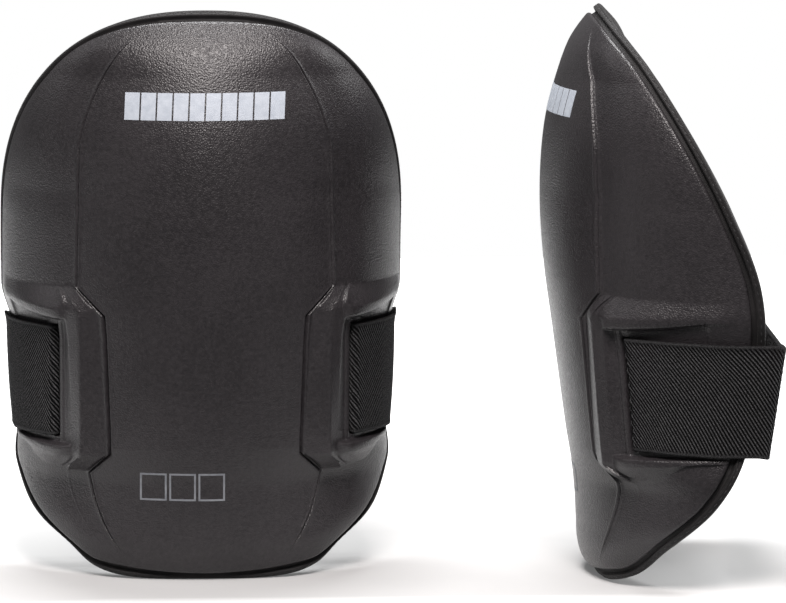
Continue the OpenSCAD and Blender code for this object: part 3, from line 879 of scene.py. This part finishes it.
def build_web(side, outside, run_xs, start, end, cut_start=True, cut_end=True):
    """Webbing between distances start and end along its line. An end that isn't cut follows a rib, so
    that the next length of webbing carries on from it."""
    stations = web_stations(side, outside, run_xs)
    mid = stations[:, len(WEB_ROWS) // 2]
    run = np.append(0, np.cumsum(np.linalg.norm(np.diff(mid, axis=0), axis=1)))
    end = run[-1] if end is None else end
    step, slant = RIB_PITCH / RIB_STEPS, -side * RIB_SLANT
    reach = RIB_SLANT * STRAP_W / 2 + step
    first = math.floor((start - (reach if cut_start else 0)) / step)
    last = math.ceil((end + (reach if cut_end else 0)) / step)
    column = np.arange(first, last + 1)
    v = WEB_ROWS
    at = column[:, None] * step + slant * (v - STRAP_W / 2)[None]
    at = np.clip(at, start if cut_start else 0, end if cut_end else run[-1])

    def points_at(along):
        return np.stack([catmull(stations[:, j], run, along[:, j]) for j in range(len(v))], axis=1)
    centre = points_at(at)
    tangent = points_at(np.minimum(at + 0.2, run[-1])) - points_at(np.maximum(at - 0.2, 0))
    up = np.zeros_like(tangent)
    up[..., 1], up[..., 2] = ease((at - 80) / 20) * math.sin(LEAN), 1.0
    n = np.cross(tangent, up) * side
    n /= np.linalg.norm(n, axis=-1, keepdims=True)
    thin = 1 - 0.55 * (bump_at(v, 0.25) + bump_at(STRAP_W - v, 0.25))
    rib, under = ribs(column, v), ribs(column + RIB_STEPS / 2, v)
    out = centre + (STRAP_T / 2 * thin[None] + rib)[..., None] * n
    inn = centre - (STRAP_T / 2 * thin[None] + under)[..., None] * n
    # Rib height at each point, which the webbing material turns into painted shade in the valleys and painted
    # highlight on the crests
    relief = np.concatenate([rib.ravel(), under.ravel()]) / RIB_HIGH + 0.75
    return *skin(out, inn), relief


def web_length(side, outside, run_xs):
    """Distances along the middle of a strap half, at its stations."""
    stations = web_stations(side, outside, run_xs)
    mid = stations[:, len(WEB_ROWS) // 2]
    return np.append(0, np.cumsum(np.linalg.norm(np.diff(mid, axis=0), axis=1)))


LOOP_RUN = [60, 50, 40, 28, 14, 0, -14, TAB_END]
HOOK_RUN = [60, 52, 46, 38, 30, TAB_X, 12, 0, -14, TAB_END]

# ---- Hook and loop patches, lying on the webbing behind the knee ----


def behind_knee(x, y, v):
    """A point behind the knee: y off the loop half's middle, v up from its middle."""
    c, s = math.cos(LEAN), math.sin(LEAN)
    return xyz(x, BACK_Y + y * c + v * s, MID_Z - y * s + v * c)


def slab(x_from, x_to, y_low, y_high, tall, cell, rough_low=0.0, rough_high=0.0, seed=1):
    """A flat tape behind the knee, with a slightly uneven face."""
    rng = np.random.default_rng(seed)
    nx, nv = int((x_to - x_from) / cell), int(tall / cell)
    x, v = np.meshgrid(np.linspace(x_from, x_to, nx), np.linspace(-tall / 2, tall / 2, nv))
    edge = np.minimum(np.minimum(x - x_from, x_to - x), tall / 2 - np.abs(v))
    round_off = 0.25 * bump_at(edge, 0.5)
    side = np.sign(y_high - y_low)
    high = behind_knee(x, y_high - side * (round_off + rough_high * rng.random(x.shape)), v)
    low = behind_knee(x, y_low + side * (0.5 * round_off + rough_low * rng.random(x.shape)), v)
    return skin(high, low)


def box_stitch(x_from, x_to, y, facing, tall, inset=1.8):
    """A row of stitches round a tape behind the knee."""
    a, b, t = x_from + inset, x_to - inset, tall / 2 - inset
    corners = np.array([[a, -t], [b, -t], [b, t], [a, t]])
    line = []
    for p, q in zip(corners, np.roll(corners, -1, axis=0)):
        line += [mix(p, q, s) for s in np.linspace(0, 1, 24)[:-1]]
    line = np.array(line)
    points = behind_knee(line[:, 0], y, line[:, 1])
    up = np.tile(behind_knee(0, facing, 0) - behind_knee(0, 0, 0), (len(line), 1))
    along = np.roll(points, -1, axis=0) - np.roll(points, 1, axis=0)
    side = np.cross(along, up)
    side /= np.linalg.norm(side, axis=1, keepdims=True)
    return thread_run(points, up, side, 2.2, 0.9, 0.2)


def hooks(x_from, x_to, y, facing, tall, pitch=1.35, high=0.42):
    """Rows of small bent hooks on the hook patch."""
    points, faces = [], []
    xs = np.arange(x_from + 1, x_to - 1, pitch)
    vs = np.arange(-tall / 2 + 1, tall / 2 - 1, pitch * 1.1)
    r = 0.2
    legs = [(0, 0, r), (0, 0.65 * high, r * 0.8), (0.22, high, r * 0.75), (0.5, 0.72 * high, r * 0.5)]
    for i, cx in enumerate(xs):
        for k, cv in enumerate(vs):
            lean = 1 if (i + k) % 2 else -1
            first = len(points)
            for dx, dy, rad in legs:
                for j in range(4):
                    t = math.pi / 2 * j + math.pi / 4
                    points.append(behind_knee(cx + lean * dx * 0.5 + rad * math.cos(t), y + facing * dy,
                                              cv + rad * math.sin(t)))
            for level in range(3):
                for j in range(4):
                    a, b = first + level * 4 + j, first + level * 4 + (j + 1) % 4
                    faces.append((a, b, b + 4, a + 4))
            faces.append([first + 3, first + 2, first + 1, first])
            faces.append([first + 12, first + 13, first + 14, first + 15])
    return np.array(points).reshape(-1, 3), faces


def joined(*shapes):
    """Several shapes as one."""
    points, faces, at = [], [], 0
    for p, f in shapes:
        points.append(p)
        faces += [[int(i) + at for i in face] for face in f]
        at += len(p)
    return np.concatenate(points), faces


def build_anchor(side):
    """The patch sewn over the inner end of a strap."""
    z = np.repeat(np.linspace(STRAP_Z - 1, STRAP_Z + STRAP_W + 1, 40)[:, None], 14, axis=1)
    x = np.repeat(np.linspace(47, 59, 14)[None], 40, axis=0)
    over = SHELL_T + STRAP_T + 1.7
    out, inn = waisted(off_base(x, z, -over + 0 * z)), waisted(off_base(x, z, -over - 1 + 0 * z))
    for p in (out, inn):
        p[..., 0] *= side
    return skin(out, inn)


# ---- Printed marks on the centre panel: plain blocks and outlined boxes ----
INK_LIFT = 0.10


def bar(x_from, x_to, z_from, z_to, slant, cell=0.5):
    """A thin bar of ink that follows the panel, slanted by that much across for each step up."""
    nx, nz = max(2, int((x_to - x_from) / cell)), max(2, int((z_to - z_from) / cell))
    u, z = np.meshgrid(np.linspace(x_from, x_to, nx), np.linspace(z_from, z_to, nz))
    x = u + slant * (z - (z_from + z_to) / 2)
    return skin(off_base(x, z, INK_LIFT + 0 * x), off_base(x, z, -0.15 + 0 * x))


def upper_mark():
    """Ten plain blocks in a row, in place of a name."""
    wide, space, count = 5.75, 0.65, 10
    first = -(count * wide + (count - 1) * space) / 2
    return joined(*[bar(first + i * (wide + space), first + i * (wide + space) + wide, 186.9, 197.6, 0.05)
                    for i in range(count)])


def lower_mark():
    """Three outlined boxes in a row, in place of a number."""
    parts, line, width = [], 0.75, 10.6
    low, high = 33.2, 44.4
    for at in (-26.2, -14.6, -3.0):
        parts += [bar(at, at + line, low, high, 0, 0.4), bar(at + width - line, at + width, low, high, 0, 0.4)]
        parts += [bar(at, at + width, z, z + line, 0, 0.4) for z in (low, high - line)]
    return joined(*parts)


# ---- The pieces of both pads ----
SHARED = {
    "foam_shell": (build_shell(), FOAM, "foam_shell", ["shell"]),
    "rim_binding_bead": (build_binding(), BINDING, "rim_binding", ["rim_binding"]),
    "rim_stitching": (build_rim_stitches(), THREAD, "rim_binding", []),
    "cushion_pad": (build_cushion(), INNER_FOAM, "inner_foam", ["cushion"]),
    "lining_cover": (build_lining(), LINING, "lining_fabric", ["lining"]),
    "hook_anchor_patch": (build_anchor(1), ANCHOR, "anchor_fabric", ["hook_anchor"]),
    "loop_anchor_patch": (build_anchor(-1), ANCHOR, "anchor_fabric", ["loop_anchor"]),
    "upper_print": (upper_mark(), INK, "foam_shell", []),
    "lower_print": (lower_mark(), THIN_INK, "foam_shell", []),
}

hook_run = web_length(1, STACK_Y, HOOK_RUN)
# where the two lengths of the hook half meet
split_at = hook_run[len(hook_run) - len(HOOK_RUN) + 2]
hook_web = build_web(1, STACK_Y, HOOK_RUN, 0, split_at, True, False)
tab_web = build_web(1, STACK_Y, HOOK_RUN, split_at, None, False, True)
loop_web = build_web(-1, 0, LOOP_RUN, 0, None, True, True)

PATCH_TALL = STRAP_W - 3
LOOP_FROM, LOOP_TO = TAB_END + 4, -TAB_END
HOOK_FROM, HOOK_TO = TAB_END + 2, TAB_X - 4
loop_low = STRAP_T / 2 + 0.05
hook_high = STACK_Y - STRAP_T / 2 - 0.05
loop_tape = joined(slab(LOOP_FROM, LOOP_TO, loop_low, loop_low + PATCH_T, PATCH_TALL, 0.5, 0, 0.22, 3))
hook_tape = joined(slab(HOOK_FROM, HOOK_TO, hook_high, hook_high - 0.45, PATCH_TALL, 1.0, 0, 0, 4),
                   hooks(HOOK_FROM, HOOK_TO, hook_high - 0.42, -1, PATCH_TALL))
tab_stitches = box_stitch(HOOK_FROM, HOOK_TO, STACK_Y + STRAP_T / 2 + 0.08, 1, PATCH_TALL)
loop_stitches = box_stitch(LOOP_FROM, LOOP_TO, -STRAP_T / 2 - 0.08, -1, PATCH_TALL)

BEND_HALF, BEND_TILT = 1.5, 0.75


def bend_line(pad, side, outside):
    """From the pad's end to the strap half's end of the bend between a strap's side and its back. The line
    tilts forward."""
    return [pad.point(side * (HINGE_X + t), BACK_Y + outside - t * BEND_TILT * math.cos(LEAN),
                      MID_Z + t * BEND_TILT * math.sin(LEAN)) for t in (BEND_HALF, -BEND_HALF)]


for pad in PADS:
    p = pad.letter
    body = "pad_" + p

    def piece(name, shape, material, nodes=(), merge=0.0):
        """This pad's copy of a shape, which is points, faces and sometimes relief."""
        obj = new_piece(f"{p}_{name}", pad.place(shape[0]), shape[1], material, merge, *shape[2:])
        if nodes:
            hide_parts(*[f"{p}_{n}" for n in nodes])
        return obj

    for name, (shape, material, slot, nodes) in SHARED.items():
        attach(piece(name, shape, material, nodes), body)
    hook = piece("hook_webbing", hook_web, WEB, ["hook_strap_side"], MERGE)
    bend_line(pad, 1, STACK_Y)
    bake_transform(hook)
    tab = piece("hook_tab_webbing", tab_web, WEB, ["hook_strap_back", "hook_tab"], MERGE)
    pad.point(TAB_X + BEND_HALF, 0, MID_Z)
    pad.point(TAB_X - BEND_HALF, 0, MID_Z)
    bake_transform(tab)
    loop = piece("loop_webbing", loop_web, WEB, ["loop_strap_side", "loop_strap_back"], MERGE)
    bend_line(pad, -1, 0)
    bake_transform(loop)
    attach(piece("loop_pile_tape", loop_tape, PILE, ["loop_patch"]), p + "_loop_half")
    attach(piece("hook_pile_tape", hook_tape, HOOK, ["hook_patch"]), p + "_hook_end")
    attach(piece("tab_stitching", tab_stitches, THREAD), p + "_hook_end")
    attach(piece("loop_stitching", loop_stitches, THREAD), p + "_loop_half")

# ---- Floor, light and camera ----
FLOOR_SIZE, FLOOR_AT, FLOOR_GAP = 1.1, (0.075, 0.48), 0.0004
# The floor glows white away from the pads, from FADE_FROM to FADE_TO metres off, and along its front edge
FADE_FROM, FADE_TO, NEAR_GLOW, FAR_GLOW = 0.12, 0.40, 0.12, 1.06
FRONT_EDGE, FRONT_FADE = -0.072, -0.034
floor_z = min(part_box(p.letter + "_rim_binding")[0].z for p in PADS) - FLOOR_GAP
bpy.ops.mesh.primitive_plane_add(size=FLOOR_SIZE, location=(*FLOOR_AT, floor_z))
floor = bpy.context.object
floor.name = "floor"
fm = Nodes("pale_floor", 0.8, spec=0.0)
away = fm.add("ShaderNodeVectorMath", operation="LENGTH")
near = fm.add("ShaderNodeVectorMath", operation="ADD")
fm.set(near, Vector=fm.coord)
near.inputs[1].default_value = (0, FLOOR_AT[1], 0)
fm.set(away, Vector=near.outputs["Vector"])
apart = fm.add("ShaderNodeSeparateXYZ")
fm.set(apart, Vector=near.outputs["Vector"])
front = fm.remap(apart.outputs["Y"], FRONT_EDGE, FRONT_FADE, FAR_GLOW, 0.0)
shine = fm.math("MAXIMUM", fm.remap(away.outputs["Value"], FADE_FROM, FADE_TO, NEAR_GLOW, FAR_GLOW), front)
fm.tree.links.new(fm.math("ADD", shine, fm.remap(fm.noise(9, 1), 0.3, 0.7, -0.005, 0.005)),
                  fm.bsdf.inputs["Emission Strength"])
fm.bsdf.inputs["Emission Color"].default_value = (1, 1, 1, 1)
pale = fm.colour(fm.remap(fm.noise(30, 2), 0.3, 0.7), (0.455, 0.455, 0.455), (0.465, 0.465, 0.465))
floor.data.materials.append(fm.done(pale))

# Soft light from all round, and plain white where the camera sees past the floor
WORLD_LIGHT = 0.17
world = bpy.data.worlds.new("studio")
bpy.context.scene.world = world
world.use_nodes = True
wt = world.node_tree
background, white = wt.nodes["Background"], wt.nodes.new("ShaderNodeBackground")
for node, strength in ((background, WORLD_LIGHT), (white, 1.0)):
    node.inputs["Color"].default_value = (1, 1, 1, 1)
    node.inputs["Strength"].default_value = strength
path, mixer = wt.nodes.new("ShaderNodeLightPath"), wt.nodes.new("ShaderNodeMixShader")
wt.links.new(path.outputs["Is Camera Ray"], mixer.inputs["Fac"])
wt.links.new(background.outputs["Background"], mixer.inputs[1])
wt.links.new(white.outputs["Background"], mixer.inputs[2])
wt.links.new(mixer.outputs["Shader"], wt.nodes["World Output"].inputs["Surface"])

AIM = np.array([0.075, 0.0, -0.01])


def softbox(name, place, size, watts, colour=(1, 1, 1)):
    """A rectangular light that faces the pads."""
    light = bpy.data.lights.new(name, "AREA")
    light.shape, light.size, light.size_y, light.energy = "RECTANGLE", size[0], size[1], watts
    light.color = colour
    obj = bpy.data.objects.new(name, light)
    bpy.context.scene.collection.objects.link(obj)
    obj.location = place
    obj.rotation_euler = Vector(AIM - np.array(place)).to_track_quat("-Z", "Y").to_euler()


softbox("top_key", (0.06, -0.80, 0.95), (0.42, 0.50), 22, (1.0, 0.94, 0.92))
softbox("left_fill", (-1.05, 0.10, 0.85), (0.6, 0.9), 2.5)
softbox("right_fill", (1.35, 0.20, 0.55), (0.6, 0.9), 9)
softbox("overhead", (0.06, 0.38, 1.25), (0.7, 0.5), 22)

ELEVATION, AZIMUTH, DISTANCE = math.radians(7.5), math.radians(3.0), 3.0
# The middle of the view, in metres from the lowest point of pad A's front
VIEW_WIDTH, AIM_RIGHT, AIM_ABOVE, AIM_BEYOND = 0.318, 0.0750, 0.1116, 0.03
look = np.array([math.sin(AZIMUTH) * math.cos(ELEVATION), math.cos(AZIMUTH) * math.cos(ELEVATION),
                 -math.sin(ELEVATION)])
right = np.array([math.cos(AZIMUTH), -math.sin(AZIMUTH), 0])
above = np.cross(right, look)
lip = PADS[0].place([0, 22, 0])
centre = lip + right * AIM_RIGHT + above * AIM_ABOVE + look * AIM_BEYOND
camera = bpy.data.objects.new("camera", bpy.data.cameras.new("camera"))
bpy.context.scene.collection.objects.link(camera)
camera.data.sensor_width = 36
camera.data.lens = 36 * DISTANCE / VIEW_WIDTH
camera.data.clip_end = 50
camera.location = centre - look * DISTANCE
camera.rotation_euler = Vector(look).to_track_quat("-Z", "Y").to_euler()
bpy.context.scene.camera = camera
bpy.context.scene.view_settings.view_transform = "Standard"
